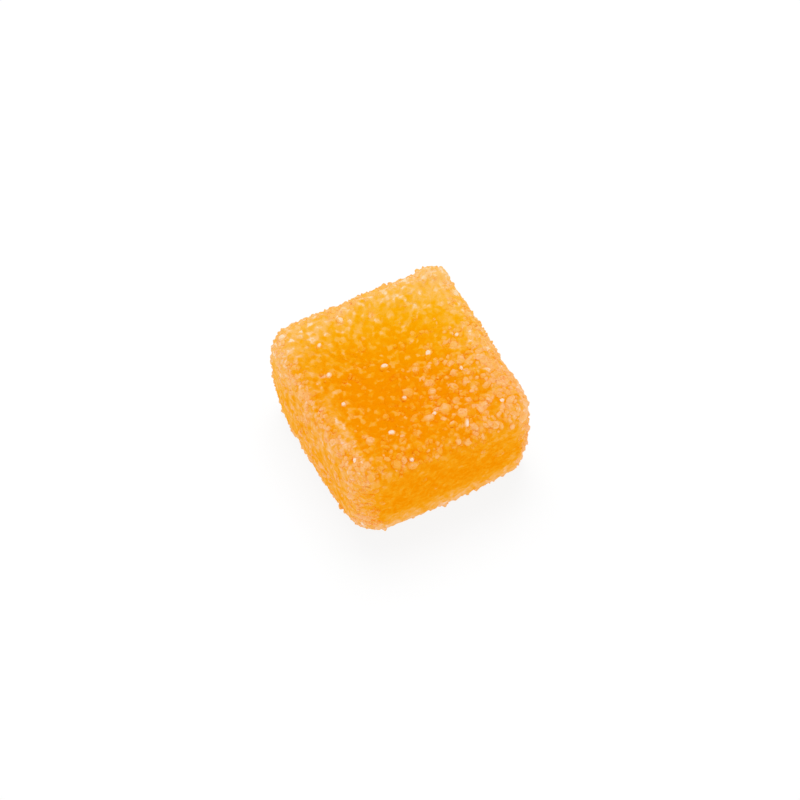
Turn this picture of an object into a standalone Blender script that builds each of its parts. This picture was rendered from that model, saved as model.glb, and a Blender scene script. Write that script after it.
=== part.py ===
"""Fruit jelly candy: one soft, moulded, nearly square block, out to the outline of its sugar coat.

The block is lofted from rounded rectangles. A profile of (inset, height) stations runs from the
flat base, round the base edge, up the wall and over the rim; the top then closes in a shallow dish.
Last, the whole shape is made a little uneven, as a soft sweet is, and one corner is drawn up.

Frame: metres, +Z up, origin at the middle of the base, where the candy rests. +Y is the back.
"""

import math

import bmesh
import bpy

# Driving sizes
WIDTH = 0.0240  # X, wall to wall where the candy is widest
DEPTH = 0.0245  # Y
HEIGHT = 0.0140  # to the rim of the top
CORNER_RADIUS = 0.0036  # upright corners, seen from above
RIM_RADIUS = 0.0028  # top edge
BASE_RADIUS = 0.0012  # bottom edge
BASE_DRAFT = 0.0003  # how far the foot of each wall stands in from the widest place
WALL_BULGE = 0.0002  # swell of each wall at half its height
DISH_DEPTH = 0.0008  # fall of the top from rim to middle
DISH_EASE = 1.5  # over 1, so that the dish is level where it meets the rim

# Unevenness of the soft block. A corner is (side in X, side in Y), each -1 or 1.
BASE_SHIFTS = {  # how far each foot stands from where an even block has it: (x, y)
    (-1, 1): (0.0009, -0.0003),
    (1, 1): (-0.0007, 0.0),
    (1, -1): (0.0002, 0.0011),
    (-1, -1): (0.0012, 0.0007),
}
RIM_SHIFTS = {
    (-1, 1): (-0.0001, 0.0005),
    (1, 1): (0.0001, 0.0003),
    (1, -1): (-0.0002, -0.0004),
    (-1, -1): (-0.0002, 0.0),
}
SIDE_BOWS = {  # how far the middle of each side stands out, at (foot, rim), by its direction
    (-1, 0): (0.0008, 0.0),
    (1, 0): (0.0, 0.0001),
    (0, -1): (0.0006, 0.0004),
    (0, 1): (0.0, 0.0001),
}
SURFACE_WAVE = 0.00010  # slow rise and fall all over
WAVE_LENGTH = 0.0090
WAVE_STARTS = (1.1, -0.6, 0.4, -0.9)  # where the waves in X, in Y and, across and along, in Z start
WALL_STRETCH = 0.6  # share of the waves' quickness up the walls
TOP_STRETCH = 0.8  # and along the top
SPUR_CORNER = (0.0099, 0.0103)  # the corner that was drawn up as the candy left its mould
SPUR_LIFT = 0.0008
SPUR_LEAN = (0.0004, 0.0001)
SPUR_RADIUS = 0.0019
SPUR_SQUARENESS = 6  # 2 is a bell, and more is a flat top with steep flanks
SPUR_FADE = 5  # how quickly the spur fades down the wall
TOP_FADE = 3  # how quickly the waves of the top fade down the wall

# Fineness of the mesh
CORNER_STEPS = 10  # per upright corner
SIDE_STEPS = 14  # per side, between the corners
BASE_STEPS = 4
WALL_STEPS = 6
RIM_STEPS = 8
DISH_STEPS = 12

# Material
JELLY_ORANGE = (1.0, 0.42, 0.03, 1.0)
JELLY_ROUGHNESS = 0.55
JELLY_CLOUDINESS = 0.6  # share of the light that is scattered inside
JELLY_SCATTER = 0.003  # how far that light is carried


def clear_scene():
    for old in list(bpy.data.objects):
        bpy.data.objects.remove(old, do_unlink=True)


def rounded_rectangle(half_x, half_y, radius):
    """Outline points, anticlockwise: four quarter arcs, with SIDE_STEPS steps along each side between."""
    arcs = []
    for turn in range(4):
        across = half_x - radius if turn in (0, 3) else radius - half_x
        along = half_y - radius if turn in (0, 1) else radius - half_y
        for step in range(CORNER_STEPS + 1):
            angle = math.pi / 2 * (turn + step / CORNER_STEPS)
            arcs.append((across + radius * math.cos(angle), along + radius * math.sin(angle)))
    outline = []
    for index, (x, y) in enumerate(arcs):
        outline.append((x, y))
        if index % (CORNER_STEPS + 1) == CORNER_STEPS:
            next_x, next_y = arcs[(index + 1) % len(arcs)]
            for step in range(1, SIDE_STEPS):
                share = step / SIDE_STEPS
                outline.append((x + (next_x - x) * share, y + (next_y - y) * share))
    return outline


def wall_profile():
    """(inset, height) stations from the edge of the flat base to the inner edge of the rim."""
    stations = []
    for step in range(BASE_STEPS + 1):
        angle = math.pi / 2 * step / BASE_STEPS
        stations.append((
            BASE_DRAFT + BASE_RADIUS * (1 - math.sin(angle)),
            BASE_RADIUS * (1 - math.cos(angle)),
        ))
    wall_top = HEIGHT - RIM_RADIUS
    for step in range(1, WALL_STEPS):
        share = step / WALL_STEPS
        inset = BASE_DRAFT * (1 - share) - WALL_BULGE * math.sin(math.pi * share)
        stations.append((inset, BASE_RADIUS + (wall_top - BASE_RADIUS) * share))
    for step in range(RIM_STEPS + 1):
        angle = math.pi / 2 * step / RIM_STEPS
        stations.append((
            RIM_RADIUS * (1 - math.cos(angle)),
            wall_top + RIM_RADIUS * math.sin(angle),
        ))
    return stations


def sections():
    """Every ring of the loft as (outline, height), from the base upwards and in to the dish."""
    rings = []
    for inset, height in wall_profile():
        radius = CORNER_RADIUS - inset
        outline = rounded_rectangle(WIDTH / 2 - inset, DEPTH / 2 - inset, radius)
        rings.append((outline, height))
    rim_outline = rings[-1][0]
    for step in range(1, DISH_STEPS):
        share = 1 - step / DISH_STEPS
        rings.append(([(x * share, y * share) for x, y in rim_outline], HEIGHT))
    return rings


def dish_fall(x, y):
    """How far the dished top lies under its rim: a product of two parabolas, eased at the rim."""
    across = min(1, abs(x) / (WIDTH / 2 - RIM_RADIUS))
    along = min(1, abs(y) / (DEPTH / 2 - RIM_RADIUS))
    return DISH_DEPTH * ((1 - across**2) * (1 - along**2)) ** DISH_EASE


def corner_shift(x, y, z):
    """The shift at one point: the corners' own, blended across the block and from foot to rim."""
    rise = min(z / HEIGHT, 1)
    shift_x = shift_y = 0
    for side_x, side_y in BASE_SHIFTS:
        share_x = (1 + side_x * max(-1, min(1, 2 * x / WIDTH))) / 2
        share_y = (1 + side_y * max(-1, min(1, 2 * y / DEPTH))) / 2
        base_x, base_y = BASE_SHIFTS[side_x, side_y]
        rim_x, rim_y = RIM_SHIFTS[side_x, side_y]
        shift_x += share_x * share_y * (base_x + (rim_x - base_x) * rise)
        shift_y += share_x * share_y * (base_y + (rim_y - base_y) * rise)
    return shift_x, shift_y


def side_bow(x, y, z):
    """How far each side's bow moves one point: a parabola along the side, from foot to rim."""
    rise = min(z / HEIGHT, 1)
    across, along = 2 * x / WIDTH, 2 * y / DEPTH
    bow_x = bow_y = 0
    for (side_x, side_y), (foot, rim) in SIDE_BOWS.items():
        reach = max(0, side_x * across + side_y * along) * (foot + (rim - foot) * rise)
        bow_x += side_x * reach * (1 - along**2)
        bow_y += side_y * reach * (1 - across**2)
    return bow_x, bow_y


def soften(x, y, z):
    """One point of the even block, moved to where the soft candy has it. The flat base stays flat."""
    rise = z / HEIGHT
    fall = dish_fall(x, y) * (z >= HEIGHT)
    shift_x, shift_y = corner_shift(x, y, z)
    bow_x, bow_y = side_bow(x, y, z)
    quickness = 2 * math.pi / WAVE_LENGTH
    start_x, start_y, start_across, start_along = WAVE_STARTS
    sway = SURFACE_WAVE * math.cos(quickness * WALL_STRETCH * z) * rise
    wave_x = sway * math.sin(quickness * y + start_x)
    wave_y = sway * math.sin(quickness * x + start_y)
    wave_z = SURFACE_WAVE * math.sin(quickness * x + start_across) * rise**TOP_FADE
    wave_z *= math.cos(quickness * TOP_STRETCH * y + start_along)
    spur_x, spur_y = SPUR_CORNER
    away = math.hypot(x - spur_x, y - spur_y) / SPUR_RADIUS
    spur = math.exp(-(away**SPUR_SQUARENESS)) * rise**SPUR_FADE
    return (
        x + shift_x + bow_x + wave_x + SPUR_LEAN[0] * spur,
        y + shift_y + bow_y + wave_y + SPUR_LEAN[1] * spur,
        z - fall + wave_z + SPUR_LIFT * spur,
    )


def candy_mesh():
    """The closed loft: rings bridged one to the next, an n-gon under it and a poked face on top."""
    shape = bmesh.new()
    loops = []
    for outline, height in sections():
        verts = [shape.verts.new(soften(x, y, height)) for x, y in outline]
        pairs = zip(verts, verts[1:] + verts[:1])
        loops.append([shape.edges.new(pair) for pair in pairs])
        if len(loops) == 1:
            shape.faces.new(verts[::-1])
        else:
            bmesh.ops.bridge_loops(shape, edges=loops[-2] + loops[-1])
    middle = shape.faces.new(verts)
    bmesh.ops.poke(shape, faces=[middle])
    bmesh.ops.recalc_face_normals(shape, faces=shape.faces)
    mesh = bpy.data.meshes.new("fruit_jelly")
    shape.to_mesh(mesh)
    shape.free()
    mesh.shade_smooth()
    return mesh


def jelly_material():
    material = bpy.data.materials.new("sugared_jelly")
    material.use_nodes = True
    shader = material.node_tree.nodes["Principled BSDF"]
    shader.inputs["Base Color"].default_value = JELLY_ORANGE
    shader.inputs["Roughness"].default_value = JELLY_ROUGHNESS
    shader.inputs["Metallic"].default_value = 0.0
    shader.inputs["Subsurface Weight"].default_value = JELLY_CLOUDINESS
    shader.inputs["Subsurface Scale"].default_value = JELLY_SCATTER
    return material


def main():
    clear_scene()
    mesh = candy_mesh()
    mesh.materials.append(jelly_material())
    candy = bpy.data.objects.new("fruit_jelly", mesh)
    bpy.context.scene.collection.objects.link(candy)


main()
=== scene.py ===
"""Looks of one sugar-coated fruit jelly candy: a soft jelly core and four kinds of sugar."""

import math

import bpy
import numpy as np
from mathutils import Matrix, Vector


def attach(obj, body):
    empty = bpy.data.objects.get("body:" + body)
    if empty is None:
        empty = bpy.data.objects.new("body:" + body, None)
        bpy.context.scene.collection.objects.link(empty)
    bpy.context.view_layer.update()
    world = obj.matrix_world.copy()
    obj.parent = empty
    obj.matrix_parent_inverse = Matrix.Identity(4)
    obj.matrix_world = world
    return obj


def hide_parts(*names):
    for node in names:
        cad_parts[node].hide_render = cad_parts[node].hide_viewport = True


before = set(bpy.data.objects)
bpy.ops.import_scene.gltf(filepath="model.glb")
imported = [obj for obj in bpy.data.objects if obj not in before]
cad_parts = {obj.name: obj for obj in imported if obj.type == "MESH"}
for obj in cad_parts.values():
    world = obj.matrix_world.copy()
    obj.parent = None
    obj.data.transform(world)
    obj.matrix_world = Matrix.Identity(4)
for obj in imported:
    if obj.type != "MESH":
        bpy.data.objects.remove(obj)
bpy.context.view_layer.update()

# Sizes of the even block, in metres, as its solid has them
WIDTH = 0.0240
DEPTH = 0.0245
HEIGHT = 0.0140
CORNER_RADIUS = 0.0036
RIM_RADIUS = 0.0028
BASE_RADIUS = 0.0012
BASE_DRAFT = 0.0003
WALL_BULGE = 0.0002
DISH_DEPTH = 0.0008
DISH_EASE = 1.5

# How the soft block departs from the even one. A corner is (side in X, side in Y).
BASE_SHIFTS = {
    (-1, 1): (0.0009, -0.0003),
    (1, 1): (-0.0007, 0.0),
    (1, -1): (0.0002, 0.0011),
    (-1, -1): (0.0012, 0.0007),
}
RIM_SHIFTS = {
    (-1, 1): (-0.0001, 0.0005),
    (1, 1): (0.0001, 0.0003),
    (1, -1): (-0.0002, -0.0004),
    (-1, -1): (-0.0002, 0.0),
}
SIDE_BOWS = {  # at (foot, rim), by the direction of the side
    (-1, 0): (0.0008, 0.0),
    (1, 0): (0.0, 0.0001),
    (0, -1): (0.0006, 0.0004),
    (0, 1): (0.0, 0.0001),
}
SURFACE_WAVE = 0.00010
WAVE_LENGTH = 0.0090
WAVE_STARTS = (1.1, -0.6, 0.4, -0.9)
WALL_STRETCH = 0.6
TOP_STRETCH = 0.8
SPUR_CORNER = (0.0099, 0.0103)
SPUR_LIFT = 0.0008
SPUR_LEAN = (0.0004, 0.0001)
SPUR_RADIUS = 0.0019
SPUR_SQUARENESS = 6
SPUR_FADE = 5
TOP_FADE = 3

# Fineness of the surface grid
GRID_STEPS = (560, 6, 52, 22, 14, 66)  # round; base arc, wall, rim arc, flat base and top
ARC_SHARE = 0.25  # share of the steps round that the upright corners take

COAT_DEPTH = 0.00013  # the jelly lies this far under the middle height of the outer grains
FLOOR_GAP = 0.00002  # the lowest grains end this far above the floor
LUMP_HEIGHT = 0.00004  # of the jelly's own unevenness
LUMP_LENGTH = 0.0013

# The finest sugar is relief on the jelly: soaked grains that have run into each other
RELIEF_LENGTH = 0.00050  # size of such a grain
RELIEF_HEIGHT = 0.00026  # how far a grain would rise over a place its own length away
RELIEF_CRISPNESS = 12  # more makes sharper valleys between grains
RELIEF_VARIETY = 0.35  # how much the grains differ in height, in squared lengths
RELIEF_TONES = 0.62  # how much they differ in paleness
TONE_SKEW = 3  # over 1, most grains are plain and a few are pale
TONE_MIDDLE = 0.2  # what such a tone is on average, about
VALLEY_PAINTED_LIGHT = 0.25  # painted light: the valleys this much paler, and the crests darker, for each squared length of depth
WALL_RELIEF = 0.60  # share of the relief that the walls have, which are more deeply soaked
WALL_GRAINS = 0.75  # the relief's grains are longer up and down, by one over this
FRONT_RELIEF = 0.6  # share of the walls' relief that the front wall has
SPUR_RELIEF = 0.4  # share of the top's relief that the drawn-up corner has
GRAIN_TABLE = 4099  # different grains of the relief, dealt out to its cells
CELL_HASH = (541, 1223, 2749)  # deals neighbouring cells different grains

# How pale the sugar is along each side, where the rim bands are partly dry sugar and partly painted
# sheen: direction, along its top rim, how far that reaches, down its wall, at its foot, and how far
# up that reaches
SIDES = (
    ((-1, 0), 0.28, 0.0040, 0.37, 0.36, 0.0021),
    ((0, 1), 1.10, 0.0045, 0.40, 0.45, 0.0021),
    ((1, 0), 0.54, 0.0050, 0.46, 0.45, 0.0021),
    ((0, -1), 0.14, 0.0022, 0.00, 1.05, 0.0029),
)
BASE_PALENESS = 0.09  # everywhere, before any band is added
PALEST = 0.9  # the paleness that the coat levels off towards
CORNER_PALER = 0.32  # how much paler the upright corners are
CORNER_BAND = 0.0026  # how far that reaches
SPUR_PALER = 0.65  # how much paler the drawn-up corner is
SPUR_BAND = 0.0030  # how far that reaches
STREAKS = (  # pale streaks along Y on top: centre x, y, half-width, half-length, how much paler
    (0.0096, 0.0002, 0.0007, 0.0022, 0.5),
    (-0.0100, -0.0060, 0.0008, 0.0050, 0.4),
)
STREAK_SQUARENESS = 4  # 2 is a bell, and more is flat with steep flanks
SOAKED_PATCH = (-0.001, -0.003, 0.0085, 0.10)  # on top: centre x, y, radius, how much deeper
PATCH_LENGTH = 0.0024  # patches where more or less of the sugar has soaked through
PATCH_SHARE = 0.16  # how much they change the paleness, as a share of it
SMALL_PATCHES = (0.4, 0.7)  # a second, finer set: its length and its strength beside the first

# Where dry sugar has drifted, from none to 1. The two halves and the front rim are in shares of
# the half-width and the half-depth.
DRIFT_EVERYWHERE = 0.01
DRIFT_RIGHT = 0.8  # on the front of the top's right half
DRIFT_FRONT = 0.5  # along the front rim
DRIFT_LEFT = 0.20  # on the left wall
DRIFT_HIDDEN = 0.2  # on the back and the right wall
RIGHT_HALF = (-0.3, 0.5)  # from where the right half has none of its drift to where it has all
FRONT_HALF = (-0.6, 0.3)  # the same from back to front
FRONT_RIM = (-0.66, 0.22)  # middle and half-width of the drift along the front rim

# Dry grains lie in clumps, which are the crests of a random field
CLUMP_LENGTH = 0.0019  # about twice a clump's width
CLUMP_START = 1.9  # only what stands higher than this is crest where no sugar has drifted
CLUMP_GAIN = 1.3  # how much lower the crests start where the sugar lies thick
CLUMP_EDGE = 0.6  # how much higher than its start a crest has to stand to count in full
CLUMP_PALER = 0.46  # how much paler a clump's grains are
CLUMP_SHOWS = 0.6  # share of that which the jelly under them has

# Which way a place faces, from where a band has nothing of it to where it has all: shares of the
# unit normal in the band's direction
FACES_SIDE = (0.3, 0.9)
FACES_UP = (0.3, 0.8)
FLAT_ON_TOP = (0.5, 0.9)
RELIEF_ON_TOP = (0.1, 0.7)
FRONT_WALL = (0.5, 0.95)
LEFT_WALL = (0.2, 0.8)
ON_A_BEND = (0.02, 0.12)  # how far the normal leans away from all three axes
FACES_DOWN = -0.9  # the base is where the normal's Z is under this

# Kinds of sugar, from large to small: name, crystal, gap, middle size, spread of sizes, tilt,
# share sunk in the jelly, how much paler than its surroundings, places tried
KINDS = (
    ("sugar_painted_glints", "block", 0.00400, 0.00068, 0.15, 0.15, 0.60, 0.80, 300),
    ("sugar_coarse", "block", 0.00060, 0.00088, 0.24, 0.08, 0.66, 0.26, 16000),
    ("sugar_crystals", "block", 0.00042, 0.00058, 0.24, 0.10, 0.66, 0.24, 60000),
    ("sugar_grains", "grain", 0.00038, 0.00048, 0.20, 0.20, 0.62, 0.08, 80000),
)
COARSE_SHARE = 0.85  # share of the places tried that are used, where a kind lies thickest
CRYSTAL_SHARE = 0.09
GRAIN_SHARE = 0.14
BASE_SHARE = 0.3  # share of the loose sugar that the base keeps
STRETCH = ((0.85, 0.70, 0.55), (1.35, 1.10, 0.80))  # least and most, along a crystal's axes
LEAN = 0.16  # how far a crystal's top leans over, as a share of its height
ROUGHENING = 0.10  # how far its corners are moved, as a share of its half-size
SINK_VARIETY = 0.05  # how much the share sunk varies from grain to grain
PROUD_STRETCH = 1.7  # grains on a bend may be this much taller
PROUD_SHARE = 0.35  # share of such grains there
FOOT_PAINTED_LIGHT = 0.10  # painted light: how much paler a crystal's foot is, standing in for light that comes through from beside it
GRAIN_VARIETY = 0.07  # how much the paleness varies from grain to grain
DRY_VARIETY = 0.08  # and how much more for the driest ones
PALEST_CRYSTAL = 0.66
PAINTED_GLINT_PALENESS = 1.05  # painted glints: a few crystals on top coloured nearly white, standing in for highlights

# Random draws. Each field has its own seed, so that one can change without the others.
SUGAR_SEED = 7
CLOUD_WAVES = 24  # sine waves in one smooth field
LUMP_SEED, RELIEF_SEED, CLUMP_SEED, PATCH_SEED, SMALL_PATCH_SEED = 3, 4, 5, 11, 12
CELL_OFFSET = 1024  # makes every cell number positive
CELL_KEYS = np.array([4096 * 4096, 4096, 1])  # makes one number of a cell's three

# Finishes
MOSAIC_LENGTH = 0.00042  # size of the grains that show through the syrup
MOSAIC_SHARE = 0.22  # how much they change the paleness
MOSAIC_SMOOTHNESS = 0.2
FINE_LENGTH = 0.00022  # size of the finest specks
FINE_SHARE = 0.20
FINE_DETAIL = 2
SOAKED_TONES = (  # by paleness
    (0.00, (0.955, 0.300, 0.000)),
    (0.25, (0.970, 0.383, 0.008)),
    (0.50, (0.985, 0.460, 0.078)),
    (0.75, (1.000, 0.555, 0.235)),
    (1.00, (1.000, 0.820, 0.660)),
)
# Painted glow: yellow mixed in towards the back and the right, standing in for light coming through
# the jelly
PAINTED_GLOW_YELLOW = (1.0, 0.60, 0.00)
YELLOW_START = -0.20 * DEPTH
YELLOW_END = 0.48 * DEPTH
YELLOW_LEAN = 0.5  # how much a step to the right counts beside a step to the back
MOST_PAINTED_GLOW = 0.31
JELLY_ROUGHNESS = 0.4
JELLY_SHINE = 0.0
SUGAR_ROUGHNESS = 0.3
SUGAR_SHINE = 0.02

# Studio
FLOOR_HALF = 2.0
FLOOR_GREY = 0.05
FLOOR_ROUGHNESS = 0.9
FLOOR_GLOW = 0.885
ROOM_LIGHT = 0.935
BACK_SOFTBOX = ((0.14, 0.22, 0.60), 0.30, 0.3)  # place, side and watts
FLOOR_SOFTBOX = ((0.08, 0.22, 0.58), 0.40, 7.5)

# Camera
VIEW_AZIMUTH = -27.6
VIEW_ELEVATION = 55.8
VIEW_DISTANCE = 0.70
VIEW_WIDTH = 0.0939  # what the picture takes in at the candy, in metres
AIM_RIGHT = -0.00001
AIM_UP = 0.00023
SENSOR_WIDTH = 36  # in millimetres
NEAREST_SEEN = 0.01

rng = np.random.default_rng(SUGAR_SEED)


def smooth_step(value, start, end):
    """0 before start, 1 after end, and 3t^2 - 2t^3 between, with t the share of the way."""
    share = np.clip((value - start) / (end - start), 0, 1)
    return share * share * (3 - 2 * share)


# ---------------------------------------------------------------- the block's surface


def outline_points(turn, half_x, half_y, radius):
    """Rounded rectangle. Turn 0 to 1 runs anticlockwise; the first share of each quarter is an
    arc of 90 degrees, and the rest is the straight side up to the next arc."""
    quarter = np.floor(turn * 4) % 4
    within = turn * 4 - np.floor(turn * 4)

    def on_arc(angle, corner):
        """The point at an angle on the circle that rounds a corner."""
        side_x = np.where((corner == 0) | (corner == 3), 1, -1)
        side_y = np.where(corner < 2, 1, -1)
        x = side_x * (half_x - radius) + radius * np.cos(angle)
        y = side_y * (half_y - radius) + radius * np.sin(angle)
        return x, y

    x, y = on_arc(np.pi / 2 * (quarter + np.minimum(within / ARC_SHARE, 1)), quarter)
    next_x, next_y = on_arc(np.pi / 2 * (quarter + 1), (quarter + 1) % 4)
    slide = np.maximum(within - ARC_SHARE, 0) / (1 - ARC_SHARE)
    return x + (next_x - x) * slide, y + (next_y - y) * slide


def wall_profile(base_steps, wall_steps, rim_steps):
    """Pairs of inset and height: a quarter arc at the base, a wall that leans out and bulges by
    half a sine wave, and a quarter arc over the rim."""
    bend = np.pi / 2 * np.linspace(0, 1, base_steps + 1)
    base_inset = BASE_DRAFT + BASE_RADIUS * (1 - np.sin(bend))
    base = np.stack([base_inset, BASE_RADIUS * (1 - np.cos(bend))], 1)
    share = np.linspace(0, 1, wall_steps + 1)[1:-1]
    wall_top = HEIGHT - RIM_RADIUS
    wall_inset = BASE_DRAFT * (1 - share) - WALL_BULGE * np.sin(np.pi * share)
    wall = np.stack([wall_inset, BASE_RADIUS + (wall_top - BASE_RADIUS) * share], 1)
    bend = np.pi / 2 * np.linspace(0, 1, rim_steps + 1)
    rim_inset = RIM_RADIUS * (1 - np.cos(bend))
    rim = np.stack([rim_inset, wall_top + RIM_RADIUS * np.sin(bend)], 1)
    return np.concatenate([base, wall, rim])


def soften(points):
    """Moves the even block's points as the soft candy has them: each corner's own shift blended
    across the block, sides bowed by a parabola, slow sine waves and a flat-topped spur."""
    x, y, z = points[..., 0], points[..., 1], points[..., 2]
    rise = np.maximum(z / HEIGHT, 0)
    across = 2 * x / WIDTH
    along = 2 * y / DEPTH
    shift = np.zeros((*x.shape, 2))
    for (side_x, side_y), base in BASE_SHIFTS.items():
        share_x = (1 + side_x * np.clip(across, -1, 1)) / 2
        share_y = (1 + side_y * np.clip(along, -1, 1)) / 2
        base = np.array(base)
        rim = np.array(RIM_SHIFTS[side_x, side_y])
        lifted = base + (rim - base) * np.minimum(rise, 1)[..., None]
        shift += (share_x * share_y)[..., None] * lifted
    bow_x = np.zeros(x.shape)
    bow_y = np.zeros(x.shape)
    for (side_x, side_y), (foot, rim) in SIDE_BOWS.items():
        reach = np.maximum(0, side_x * across + side_y * along)
        reach = reach * (foot + (rim - foot) * np.minimum(rise, 1))
        bow_x += side_x * reach * (1 - along**2)
        bow_y += side_y * reach * (1 - across**2)
    quickness = 2 * np.pi / WAVE_LENGTH
    start_x, start_y, start_across, start_along = WAVE_STARTS
    sway = SURFACE_WAVE * np.cos(quickness * WALL_STRETCH * z) * rise
    wave_x = sway * np.sin(quickness * y + start_x)
    wave_y = sway * np.sin(quickness * x + start_y)
    wave_z = SURFACE_WAVE * np.sin(quickness * x + start_across) * rise**TOP_FADE
    wave_z *= np.cos(quickness * TOP_STRETCH * y + start_along)
    away = np.hypot(x - SPUR_CORNER[0], y - SPUR_CORNER[1]) / SPUR_RADIUS
    spur = np.exp(-(away**SPUR_SQUARENESS)) * rise**SPUR_FADE
    moved_x = x + shift[..., 0] + bow_x + wave_x + SPUR_LEAN[0] * spur
    moved_y = y + shift[..., 1] + bow_y + wave_y + SPUR_LEAN[1] * spur
    return np.stack([moved_x, moved_y, z + wave_z + SPUR_LIFT * spur], -1)


def cloud(points, length, seed):
    """A smooth random field of unit spread: a sum of sine waves in random directions, each a
    little longer or shorter than the given length."""
    draw = np.random.default_rng(seed)
    way = draw.normal(0, 1, (CLOUD_WAVES, 3))
    way /= np.linalg.norm(way, axis=1, keepdims=True)
    way *= 2 * np.pi / length * draw.uniform(0.7, 1.4, (CLOUD_WAVES, 1))
    waves = np.sin(points @ way.T + draw.uniform(0, 2 * np.pi, CLOUD_WAVES))
    return waves.sum(-1) / math.sqrt(CLOUD_WAVES / 2)


def soft_grains(points, length, seed):
    """Rounded grains that run into each other. Each cubic cell of the given length holds one
    grain at a random place, with a random height and tone. A grain's height falls with the
    squared distance from its middle, and the grains are joined by a smooth maximum, the
    logarithm of a sum of exponentials. Returns the height and the tone, 0 to 1."""
    table = np.random.default_rng(seed).random((GRAIN_TABLE, 5))
    scaled = points / length
    cell = np.floor(scaled).astype(int)
    total = np.zeros(len(points))
    toned = np.zeros(len(points))
    for step in np.ndindex(3, 3, 3):
        near = cell + np.array(step) - 1
        drawn = table[near @ CELL_HASH % GRAIN_TABLE]
        place, lift, tone = drawn[:, :3], drawn[:, 3], drawn[:, 4]
        away = np.linalg.norm(scaled - near - place, axis=1)
        weight = np.exp(RELIEF_CRISPNESS * (RELIEF_VARIETY * lift - away**2))
        total += weight
        toned += weight * tone
    return np.log(total) / RELIEF_CRISPNESS, toned / total


def block_grid(around, base_steps, wall_steps, rim_steps, flat_steps, top_steps):
    """The whole surface as one grid. Columns run once round. Rows run from the middle of the
    base outwards, up the wall, over the rim and in to the middle of the top, which is a dish: a
    product of two parabolas, eased by a power. The first and the last row are each one point."""
    turn = np.arange(around) / around
    rings = []
    for inset, height in wall_profile(base_steps, wall_steps, rim_steps):
        x, y = outline_points(turn, WIDTH / 2 - inset, DEPTH / 2 - inset, CORNER_RADIUS - inset)
        rings.append(np.stack([x, y, np.full(around, height)], -1))
    rings = np.stack(rings)
    base = rings[:1] * (1, 1, 0) * np.linspace(0, 1, flat_steps + 1)[:-1, None, None]
    top = rings[-1:] * (1, 1, 0) * np.linspace(1, 0, top_steps + 1)[1:, None, None]
    across = top[..., 0] / (WIDTH / 2 - RIM_RADIUS)
    along = top[..., 1] / (DEPTH / 2 - RIM_RADIUS)
    top[..., 2] = HEIGHT - DISH_DEPTH * np.maximum((1 - across**2) * (1 - along**2), 0) ** DISH_EASE
    return soften(np.concatenate([base, rings, top]))


def grid_normals(grid):
    """Outward unit normals: the cross product of a grid's step round and its step up."""
    step_round = np.roll(grid, -1, 1) - np.roll(grid, 1, 1)
    step_up = np.gradient(grid, axis=0)
    normal = np.cross(step_round, step_up)
    normal[0] = (0, 0, -1)
    normal[-1] = (0, 0, 1)
    return normal / np.linalg.norm(normal, axis=-1, keepdims=True)


def without_poles(grid):
    """The grid's points as a list, with its first and its last row each as one point."""
    each = grid.shape[-1]
    return np.concatenate([grid[0, :1], grid[1:-1].reshape(-1, each), grid[-1, :1]])


def grid_mesh(name, grid):
    """A closed mesh from a grid whose first and last rows are each one point."""
    rows, columns = grid.shape[:2]
    points = without_poles(grid)
    index = 1 + np.arange((rows - 2) * columns).reshape(rows - 2, columns)
    beside = np.roll(index, -1, 1)
    quads = np.stack([index[:-1], beside[:-1], beside[1:], index[1:]], -1).reshape(-1, 4)
    bottom = np.stack([np.zeros(columns, int), beside[0], index[0]], -1)
    top = np.stack([np.full(columns, len(points) - 1), index[-1], beside[-1]], -1)
    mesh = bpy.data.meshes.new(name)
    mesh.from_pydata(points, [], [*quads.tolist(), *bottom.tolist(), *top.tolist()])
    mesh.shade_smooth()
    return mesh


def set_paleness(mesh, paleness):
    """Keeps one paleness for each point of the mesh, for its material to read."""
    attribute = mesh.attributes.new("paleness", "FLOAT", "POINT")
    attribute.data.foreach_set("value", paleness.astype(np.float32).ravel())


# ---------------------------------------------------------------- where the sugar lies


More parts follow.
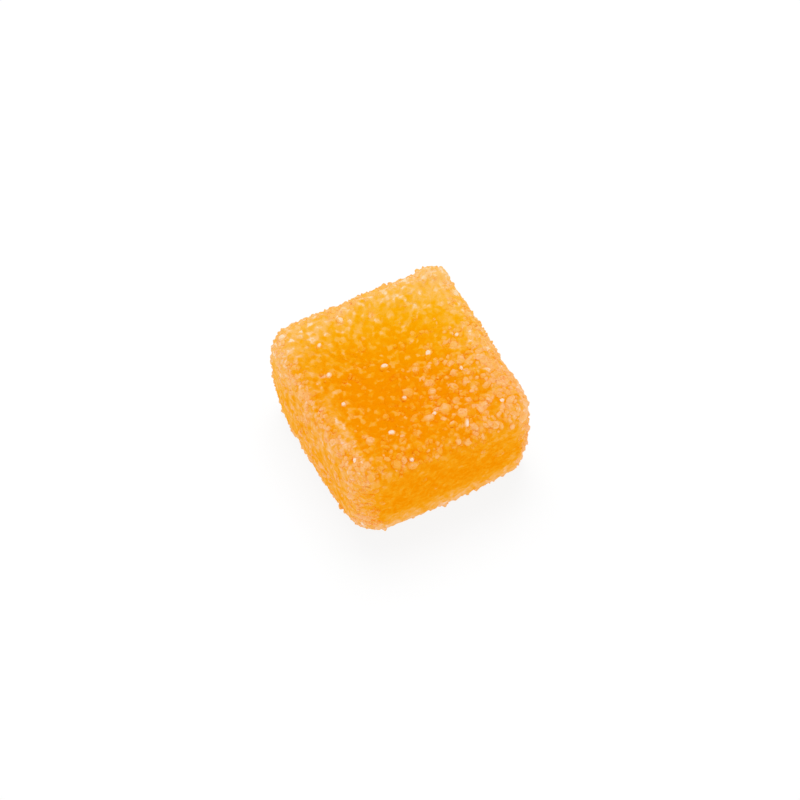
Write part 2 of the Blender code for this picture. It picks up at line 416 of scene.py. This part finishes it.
def coat_paleness(points, normals):
    """How pale the coat is at each point, about 0 to 1: bell curves of the distance from each
    rim, foot, upright corner and the drawn-up corner, a share of each side's wall and two
    streaks, less a soaked patch on top. Random patches make the whole a share more or less,
    clumps of dry grains add to it, and it levels off exponentially."""
    x, y, z = points.T
    below_top = HEIGHT - z
    paleness = np.full(len(points), BASE_PALENESS)
    for (side_x, side_y), rim, band, wall, foot, foot_band in SIDES:
        inset = (1 - side_x * 2 * x / WIDTH) * WIDTH / 2 * abs(side_x)
        inset += (1 - side_y * 2 * y / DEPTH) * DEPTH / 2 * abs(side_y)
        from_rim = np.hypot(np.maximum(inset, 0), below_top)
        faces_side = smooth_step(normals[:, 0] * side_x + normals[:, 1] * side_y, *FACES_SIDE)
        # the rim band is partly dry sugar and partly painted sheen
        paleness += rim * np.exp(-((from_rim / band) ** 2))
        paleness += (wall + foot * np.exp(-((z / foot_band) ** 2))) * faces_side
    is_wall = 1 - smooth_step(normals[:, 2], *FACES_UP)
    from_corner = np.hypot(WIDTH / 2 - np.abs(x), DEPTH / 2 - np.abs(y))
    paleness += CORNER_PALER * is_wall * np.exp(-((from_corner / CORNER_BAND) ** 2))
    from_spur = np.hypot(x - SPUR_CORNER[0], y - SPUR_CORNER[1])
    is_top = smooth_step(normals[:, 2], *FLAT_ON_TOP)
    paleness += SPUR_PALER * is_top * np.exp(-((from_spur / SPUR_BAND) ** 2))
    for middle_x, middle_y, half_width, half_length, paler in STREAKS:
        from_middle = np.hypot((x - middle_x) / half_width, (y - middle_y) / half_length)
        paleness += paler * is_top * np.exp(-(from_middle**STREAK_SQUARENESS))
    middle_x, middle_y, radius, deeper = SOAKED_PATCH
    from_patch = np.hypot(x - middle_x, y - middle_y) / radius
    paleness -= deeper * is_top * np.exp(-(from_patch**2))
    small_length, small_share = SMALL_PATCHES
    patches = cloud(points, PATCH_LENGTH, PATCH_SEED)
    patches += small_share * cloud(points, PATCH_LENGTH * small_length, SMALL_PATCH_SEED)
    paleness = paleness * (1 + PATCH_SHARE * patches)
    paleness += CLUMP_PALER * CLUMP_SHOWS * clumps(points, normals)
    return PALEST * (1 - np.exp(-np.maximum(paleness, 0) / PALEST))


def sugar_drift(points, normals):
    """How thick the dry sugar lies, 0 to 1: most on the right-hand half of the top and along
    its front rim, some on the left wall and on the two hidden ones, little on the front wall.
    Each is a smooth step or a bell curve, and they add up."""
    x, y = points[:, 0] * 2 / WIDTH, points[:, 1] * 2 / DEPTH
    is_top = smooth_step(normals[:, 2], *FACES_UP)
    drift = DRIFT_EVERYWHERE
    drift += DRIFT_RIGHT * is_top * smooth_step(x, *RIGHT_HALF) * smooth_step(-y, *FRONT_HALF)
    rim_middle, rim_width = FRONT_RIM
    drift += DRIFT_FRONT * is_top * np.exp(-(((y - rim_middle) / rim_width) ** 2))
    drift += DRIFT_LEFT * smooth_step(-normals[:, 0], *LEFT_WALL)
    drift += DRIFT_HIDDEN * smooth_step(np.maximum(normals[:, 0], normals[:, 1]), *FACES_SIDE)
    return np.clip(drift, 0, 1)


def clumps(points, normals):
    """How much each point belongs to a clump of dry grains, 0 to 1: the crests of a random
    field. The more dry sugar has drifted to a place, the more of the field counts as crest."""
    start = CLUMP_START - CLUMP_GAIN * sugar_drift(points, normals)
    return smooth_step(cloud(points, CLUMP_LENGTH, CLUMP_SEED) - start, 0, CLUMP_EDGE)


def relief_share(points, normals):
    """How strong the relief of the soaked grains is: full on top, less on the walls, and least
    on the front wall and the drawn-up corner."""
    share = WALL_RELIEF + (1 - WALL_RELIEF) * smooth_step(normals[:, 2], *RELIEF_ON_TOP)
    share *= 1 - (1 - FRONT_RELIEF) * smooth_step(-normals[:, 1], *FRONT_WALL)
    from_spur = np.hypot(points[:, 0] - SPUR_CORNER[0], points[:, 1] - SPUR_CORNER[1])
    return share * (1 - (1 - SPUR_RELIEF) * np.exp(-((from_spur / SPUR_BAND) ** 2)))


def bend(normals):
    """0 where the block is flat and 1 on its rims and corners: how far the normal leans away
    from all three axes."""
    return smooth_step(1 - np.abs(normals).max(1), *ON_A_BEND)


def scatter(grid, count):
    """Random places spread evenly over a grid's area. A cell is drawn by its share of the area
    and a place in it by two shares of its sides. Returns points and unit normals."""
    corner, above = grid[:-1], grid[1:]
    beside, beyond = np.roll(corner, -1, 1), np.roll(above, -1, 1)
    area = np.linalg.norm(np.cross(beside - corner, above - corner), axis=-1)
    area += np.linalg.norm(np.cross(beside - beyond, above - beyond), axis=-1)
    reached = np.cumsum(area.ravel())
    cell = np.searchsorted(reached, rng.random(count) * reached[-1])
    row, column = np.divmod(np.minimum(cell, reached.size - 1), grid.shape[1])
    right = (column + 1) % grid.shape[1]
    share_round, share_up = rng.random((2, count, 1))

    def blend(field):
        """The field at each place: a straight blend round, and then up."""
        low = field[row, column] * (1 - share_round) + field[row, right] * share_round
        high = field[row + 1, column] * (1 - share_round) + field[row + 1, right] * share_round
        return low * (1 - share_up) + high * share_up

    normals = blend(grid_normals(grid))
    return blend(grid), normals / np.linalg.norm(normals, axis=1, keepdims=True)


def cell_keys(points, gap):
    """One number for the cubic cell, of half the gap, that each point lies in."""
    cell = np.floor(points / (gap / 2)).astype(np.int64) + CELL_OFFSET
    return cell @ CELL_KEYS


def near_pairs(points, gap):
    """Indices of all pairs of points nearer than the gap. There is at most one point to a cell,
    so the neighbours lie within two cells each way."""
    keys = cell_keys(points, gap)
    order = np.argsort(keys)
    keys = keys[order]
    pairs = []
    for step in np.ndindex(5, 5, 5):
        offset = (np.array(step) - 2) @ CELL_KEYS
        if offset == 0:
            continue
        at = np.minimum(np.searchsorted(keys, keys + offset), len(keys) - 1)
        found = keys[at] == keys + offset
        one, other = order[found], order[at[found]]
        near = np.linalg.norm(points[one] - points[other], axis=1) < gap
        pairs.append(np.stack([one[near], other[near]], 1))
    return np.concatenate(pairs)


def spaced(points, gap):
    """Indices of points that keep the gap, from the first point of each cell. In each round, a
    point that comes before all its open neighbours is kept, and its neighbours are closed."""
    first = np.sort(np.unique(cell_keys(points, gap), return_index=True)[1])
    one, other = near_pairs(points[first], gap).T
    is_open = np.ones(len(first), bool)
    kept = np.zeros(len(first), bool)
    while is_open.any():
        earliest = np.full(len(first), len(first))
        both = is_open[one] & is_open[other]
        np.minimum.at(earliest, one[both], other[both])
        chosen = is_open & (np.arange(len(first)) < earliest)
        kept |= chosen
        is_open &= ~chosen
        is_open[other[chosen[one]]] = False
    return first[kept]


# ---------------------------------------------------------------- sugar crystals


def crystal_rings(sides, squareness, levels):
    """One crystal of unit half-size: a ring of a few sides, its circle pushed out towards a
    square, carried up through levels of (height, breadth, tone). Returns the corners, of shape
    (levels, sides, 3), and how far each corner has the crystal's own tone."""
    angle = 2 * np.pi * (np.arange(sides) + 0.5) / sides
    x, y = np.cos(angle), np.sin(angle)
    reach = np.maximum(np.abs(x), np.abs(y)) ** squareness
    height, breadth, tone = np.array(levels).T[:, :, None]
    corners = np.stack([x / reach * breadth, y / reach * breadth, height + 0 * x], -1)
    return corners, (tone + 0 * x).ravel()


CRYSTALS = {
    "block": crystal_rings(
        8, 0.3, ((-0.7, 1.45, 0), (0.10, 1.35, 0), (0.50, 1.0, 0.4), (0.82, 0.7, 0.9), (1, 0.35, 1))
    ),
    "grain": crystal_rings(
        6, 0.2, ((-0.7, 1.40, 0), (0.10, 1.25, 0), (0.60, 0.8, 0.7), (1, 0.3, 1))
    ),
}


def crystal_faces(levels, sides):
    """Quads between one crystal's rings, and its two end faces."""
    index = np.arange(levels * sides).reshape(levels, sides)
    beside = np.roll(index, -1, 1)
    quads = np.stack([index[:-1], beside[:-1], beside[1:], index[1:]], -1).reshape(-1, 4)
    return quads, np.stack([index[0, ::-1], index[-1]])


def crystal_axes(normals, tilt):
    """Three axes at right angles for each crystal, the third one near the surface's normal."""
    third = normals + rng.normal(0, tilt, normals.shape)
    third /= np.linalg.norm(third, axis=1, keepdims=True)
    first = np.cross(third, rng.normal(0, 1, normals.shape))
    first /= np.linalg.norm(first, axis=1, keepdims=True)
    return np.stack([first, np.cross(third, first), third], 1)


def crystal_points(unit, points, normals, sizes, tilt, sunk):
    """Corners of every crystal, shape (crystals, corners, 3). The unit crystal is stretched by
    three random factors, leaned over, roughened, turned and set partly in the jelly. One that
    would reach under the floor is lifted by what is too low."""
    count = len(points)
    stretch = rng.uniform(*STRETCH, (count, 3))
    is_proud = rng.random(count) < PROUD_SHARE * bend(normals)
    stretch[:, 2] *= np.where(is_proud, PROUD_STRETCH, 1)
    corners = unit.reshape(1, -1, 3) * stretch[:, None]
    corners[..., 0] += rng.normal(0, LEAN, (count, 1)) * corners[..., 2]
    corners += rng.normal(0, ROUGHENING, corners.shape)
    corners *= sizes[:, None, None] / 2
    corners = corners @ crystal_axes(normals, tilt)
    sunk = sunk + rng.normal(0, SINK_VARIETY, count)
    centres = points + normals * (sizes * (0.5 - sunk))[:, None]
    corners += centres[:, None]
    corners[..., 2] += np.maximum(FLOOR_GAP - corners[..., 2].min(1), 0)[:, None]
    return corners


def crystal_mesh(name, unit, corners, paleness):
    """All crystals of one kind as one mesh, with the paleness at every corner."""
    levels, sides = unit.shape[:2]
    count, each = corners.shape[:2]
    quads, ends = crystal_faces(levels, sides)
    start = (np.arange(count) * each)[:, None, None]
    quads = (quads + start).reshape(-1, 4)
    ends = (ends + start).reshape(-1, sides)
    loops = np.concatenate([quads.ravel(), ends.ravel()])
    quad_starts = np.arange(len(quads)) * 4
    end_starts = quads.size + np.arange(len(ends)) * sides
    starts = np.concatenate([quad_starts, end_starts])
    mesh = bpy.data.meshes.new(name)
    mesh.vertices.add(count * each)
    mesh.vertices.foreach_set("co", corners.astype(np.float32).ravel())
    mesh.loops.add(len(loops))
    mesh.loops.foreach_set("vertex_index", loops.astype(np.int32))
    mesh.polygons.add(len(quads) + len(ends))
    mesh.polygons.foreach_set("loop_start", starts.astype(np.int32))
    mesh.update(calc_edges=True)
    mesh.shade_flat()
    set_paleness(mesh, paleness)
    return mesh


# ---------------------------------------------------------------- materials


def new_material(name):
    """A material with its nodes, its links and its one shader."""
    material = bpy.data.materials.new(name)
    material.use_nodes = True
    tree = material.node_tree
    return material, tree.nodes, tree.links, tree.nodes["Principled BSDF"]


def tone_by_paleness(nodes, links, paleness):
    """The soaked tones as a colour ramp over the paleness."""
    ramp = nodes.new("ShaderNodeValToRGB")
    elements = ramp.color_ramp.elements
    while len(elements) < len(SOAKED_TONES):
        elements.new(0.5)
    for element, (place, colour) in zip(elements, SOAKED_TONES):
        element.position = place
        element.color = (*colour, 1)
    links.new(paleness, ramp.inputs["Fac"])
    return ramp.outputs["Color"]


def paint_glow_to_back(nodes, links, colour):
    """Paints glow into the colour: mixes yellow in by a smooth step towards the back of the candy,
    and half as much towards its right, standing in for light that comes through."""
    place = nodes.new("ShaderNodeTexCoord")
    axes = nodes.new("ShaderNodeSeparateXYZ")
    links.new(place.outputs["Object"], axes.inputs["Vector"])
    leaned = nodes.new("ShaderNodeMath")
    leaned.operation = "MULTIPLY_ADD"
    links.new(axes.outputs["X"], leaned.inputs[0])
    leaned.inputs[1].default_value = YELLOW_LEAN
    links.new(axes.outputs["Y"], leaned.inputs[2])
    share = nodes.new("ShaderNodeMapRange")
    share.interpolation_type = "SMOOTHSTEP"
    share.inputs["From Min"].default_value = YELLOW_START
    share.inputs["From Max"].default_value = YELLOW_END
    share.inputs["To Max"].default_value = MOST_PAINTED_GLOW
    links.new(leaned.outputs["Value"], share.inputs["Value"])
    mix = nodes.new("ShaderNodeMix")
    mix.data_type = "RGBA"
    links.new(share.outputs["Result"], mix.inputs["Factor"])
    links.new(colour, mix.inputs["A"])
    mix.inputs["B"].default_value = (*PAINTED_GLOW_YELLOW, 1)
    return mix.outputs["Result"]


def soaked_tone(nodes, links):
    """The coat's colour: the paleness on the mesh, varied by a mosaic of grains that lie under the
    syrup and by a finer noise, through a ramp from orange to peach and white, with a painted glow
    towards the back."""
    paleness = nodes.new("ShaderNodeAttribute")
    paleness.attribute_name = "paleness"
    place = nodes.new("ShaderNodeTexCoord")
    mosaic = nodes.new("ShaderNodeTexVoronoi")
    mosaic.feature = "SMOOTH_F1"
    mosaic.inputs["Scale"].default_value = 1 / MOSAIC_LENGTH
    mosaic.inputs["Smoothness"].default_value = MOSAIC_SMOOTHNESS
    noise = nodes.new("ShaderNodeTexNoise")
    noise.inputs["Scale"].default_value = 1 / FINE_LENGTH
    noise.inputs["Detail"].default_value = FINE_DETAIL
    for texture in (mosaic, noise):
        links.new(place.outputs["Object"], texture.inputs["Vector"])
    cell = nodes.new("ShaderNodeSeparateColor")
    links.new(mosaic.outputs["Color"], cell.inputs["Color"])
    total = paleness.outputs["Fac"]
    for part, share in ((cell.outputs["Red"], MOSAIC_SHARE), (noise.outputs["Fac"], FINE_SHARE)):
        scaled = nodes.new("ShaderNodeMath")
        scaled.operation = "MULTIPLY_ADD"
        links.new(part, scaled.inputs[0])
        scaled.inputs[1].default_value = share
        scaled.inputs[2].default_value = -share / 2
        added = nodes.new("ShaderNodeMath")
        links.new(total, added.inputs[0])
        links.new(scaled.outputs["Value"], added.inputs[1])
        total = added.outputs["Value"]
    return paint_glow_to_back(nodes, links, tone_by_paleness(nodes, links, total))


def coat_material(name, roughness, shine):
    """Jelly or sugar, tinted by the syrup: orange where soaked and peach to white where dry, with a
    painted glow towards the back and white painted glints.
    """
    material, nodes, links, shader = new_material(name)
    links.new(soaked_tone(nodes, links), shader.inputs["Base Color"])
    shader.inputs["Roughness"].default_value = roughness
    shader.inputs["Specular IOR Level"].default_value = shine
    return material


def floor_material():
    """White acrylic, lit a little from below."""
    material, _, _, shader = new_material("pale_floor")
    shader.inputs["Base Color"].default_value = (FLOOR_GREY, FLOOR_GREY, FLOOR_GREY, 1)
    shader.inputs["Roughness"].default_value = FLOOR_ROUGHNESS
    shader.inputs["Specular IOR Level"].default_value = 0.0
    shader.inputs["Emission Color"].default_value = (1, 1, 1, 1)
    shader.inputs["Emission Strength"].default_value = FLOOR_GLOW
    return material


# ---------------------------------------------------------------- pieces


def add_piece(mesh, material):
    """A mesh as a piece of the candy, in one finish."""
    piece = bpy.data.objects.new(mesh.name, mesh)
    bpy.context.scene.collection.objects.link(piece)
    mesh.materials.append(material)
    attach(piece, "root")
    return piece


def build_jelly():
    """The jelly and the finest of its sugar: the block's surface set in along its normals, with
    slow lumps and the relief of soaked grains. Returns the surface without the grains."""
    outer = block_grid(*GRID_STEPS)
    normals = grid_normals(outer)
    points = outer.reshape(-1, 3)
    lumps = LUMP_HEIGHT * cloud(points, LUMP_LENGTH, LUMP_SEED)
    strength = relief_share(points, normals.reshape(-1, 3))
    rise, tones = soft_grains(points * (1, 1, WALL_GRAINS), RELIEF_LENGTH, RELIEF_SEED)
    relief = RELIEF_HEIGHT * (rise - rise.mean()) * strength
    tones = strength * (tones**TONE_SKEW - TONE_MIDDLE) * (points[:, 2] > FLOOR_GAP)
    lumps, relief, tones = (field.reshape(outer.shape[:2]) for field in (lumps, relief, tones))
    for field in (lumps, relief, tones):
        field[0] = field[0, 0]
        field[-1] = field[-1, 0]
    is_free = outer[..., 2] > FLOOR_GAP
    core = outer - normals * (COAT_DEPTH - lumps * is_free)[..., None]
    grained = core + normals * (relief * is_free)[..., None]
    grained[..., 2] = np.maximum(grained[..., 2], FLOOR_GAP)
    mesh = grid_mesh("jelly_core", grained)
    paleness = coat_paleness(without_poles(core), without_poles(grid_normals(core)))
    paleness += RELIEF_TONES * without_poles(tones[..., None])[:, 0]
    # Painted light: the valleys paler and the crests darker, against the shade that falls in the
    # valleys
    paleness -= VALLEY_PAINTED_LIGHT / RELIEF_HEIGHT * without_poles(relief[..., None])[:, 0]
    set_paleness(mesh, paleness)
    jelly = add_piece(mesh, coat_material("orange_jelly", JELLY_ROUGHNESS, JELLY_SHINE))
    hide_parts("fruit_jelly")
    return core


def sugar_share(name, points, normals):
    """The share of places that are used: large crystals lie where the dry sugar drifted, and
    little sugar shows on the base."""
    drift = sugar_drift(points, normals)
    share = {
        "sugar_painted_glints": smooth_step(normals[:, 2], *FLAT_ON_TOP),
        "sugar_coarse": COARSE_SHARE * drift * clumps(points, normals),
        "sugar_crystals": CRYSTAL_SHARE * drift,
        "sugar_grains": GRAIN_SHARE * bend(normals) * relief_share(points, normals),
    }[name]
    return share * np.where(normals[:, 2] < FACES_DOWN, BASE_SHARE, 1)


def own_paleness(name, around, paler, points, normals):
    """The paleness of each crystal: that of the coat around it, its kind's own share and its
    clump's, a normal spread and an exponential one for the driest. Painted glints are all white,
    standing in for highlights."""
    own = around + paler + CLUMP_PALER * (1 - CLUMP_SHOWS) * clumps(points, normals)
    own += rng.normal(0, GRAIN_VARIETY, len(points)) + rng.exponential(DRY_VARIETY, len(points))
    return np.where(name == "sugar_painted_glints", PAINTED_GLINT_PALENESS, np.minimum(own, PALEST_CRYSTAL))


def build_sugar(core):
    """Kinds from large to small. Each keeps its gap to the kinds before it, so that the small
    grains fill what the large ones leave. A crystal fades from its own paleness at the top to
    that of the coat around its foot, with painted light added at the foot."""
    taken = np.empty((0, 3))
    for name, crystal, gap, size, spread, tilt, sunk, paler, places in KINDS:
        points, normals = scatter(core, places)
        wanted = rng.random(len(points)) < sugar_share(name, points, normals)
        points, normals = points[wanted], normals[wanted]
        kept = spaced(np.concatenate([taken, points]), gap)
        kept = kept[kept >= len(taken)] - len(taken)
        points, normals = points[kept], normals[kept]
        taken = np.concatenate([taken, points])
        sizes = size * np.exp(rng.normal(0, spread, len(points)))
        unit, tone = CRYSTALS[crystal]
        corners = crystal_points(unit, points, normals, sizes, tilt, sunk)
        around = coat_paleness(points, normals)
        own = own_paleness(name, around, paler, points, normals)
        # painted light at the foot, standing in for light that comes through from beside the
        # crystal
        foot = around[:, None] + FOOT_PAINTED_LIGHT
        paleness = foot + (own[:, None] - foot) * tone
        mesh = crystal_mesh(name, unit, corners, paleness)
        add_piece(mesh, coat_material(name + "_finish", SUGAR_ROUGHNESS, SUGAR_SHINE))


# ---------------------------------------------------------------- studio


def add_softbox(name, place, side, power):
    """A square lamp that faces the origin."""
    light = bpy.data.lights.new(name, "AREA")
    light.size = side
    light.energy = power
    lamp = bpy.data.objects.new(name, light)
    lamp.location = place
    lamp.rotation_mode = "QUATERNION"
    lamp.rotation_quaternion = (-Vector(place)).to_track_quat("-Z", "Y")
    bpy.context.scene.collection.objects.link(lamp)
    return lamp


def build_studio():
    """A pale floor, even white light all round, a weak softbox at the back, and a stronger one
    that lights only the floor, for the candy's shadow on it."""
    mesh = bpy.data.meshes.new("floor")
    half = FLOOR_HALF
    square = [(-half, -half, 0), (half, -half, 0), (half, half, 0), (-half, half, 0)]
    mesh.from_pydata(square, [], [(0, 1, 2, 3)])
    mesh.materials.append(floor_material())
    floor = bpy.data.objects.new("floor", mesh)
    bpy.context.scene.collection.objects.link(floor)
    world = bpy.data.worlds.new("studio")
    world.use_nodes = True
    background = world.node_tree.nodes["Background"]
    background.inputs["Color"].default_value = (1, 1, 1, 1)
    background.inputs["Strength"].default_value = ROOM_LIGHT
    bpy.context.scene.world = world
    add_softbox("back_softbox", *BACK_SOFTBOX)
    floor_only = bpy.data.collections.new("floor_only")
    floor_only.objects.link(floor)
    lamp = add_softbox("floor_softbox", *FLOOR_SOFTBOX)
    lamp.light_linking.receiver_collection = floor_only


def build_camera():
    """Looks along the azimuth and elevation, aimed a little beside the candy's middle height."""
    azimuth = math.radians(VIEW_AZIMUTH)
    elevation = math.radians(VIEW_ELEVATION)
    flat = math.cos(elevation)
    back = Vector((math.sin(azimuth) * flat, -math.cos(azimuth) * flat, math.sin(elevation)))
    right = Vector((math.cos(azimuth), math.sin(azimuth), 0))
    aim = Vector((0, 0, HEIGHT / 2)) + right * AIM_RIGHT + back.cross(right) * AIM_UP
    camera_data = bpy.data.cameras.new("camera")
    camera_data.sensor_width = SENSOR_WIDTH
    camera_data.lens = SENSOR_WIDTH * VIEW_DISTANCE / VIEW_WIDTH
    camera_data.clip_start = NEAREST_SEEN
    camera = bpy.data.objects.new("camera", camera_data)
    camera.location = aim + back * VIEW_DISTANCE
    camera.rotation_mode = "QUATERNION"
    camera.rotation_quaternion = (-back).to_track_quat("-Z", "Y")
    bpy.context.scene.collection.objects.link(camera)
    bpy.context.scene.camera = camera


bpy.context.scene.view_settings.view_transform = "Standard"
build_studio()
build_camera()
build_sugar(build_jelly())
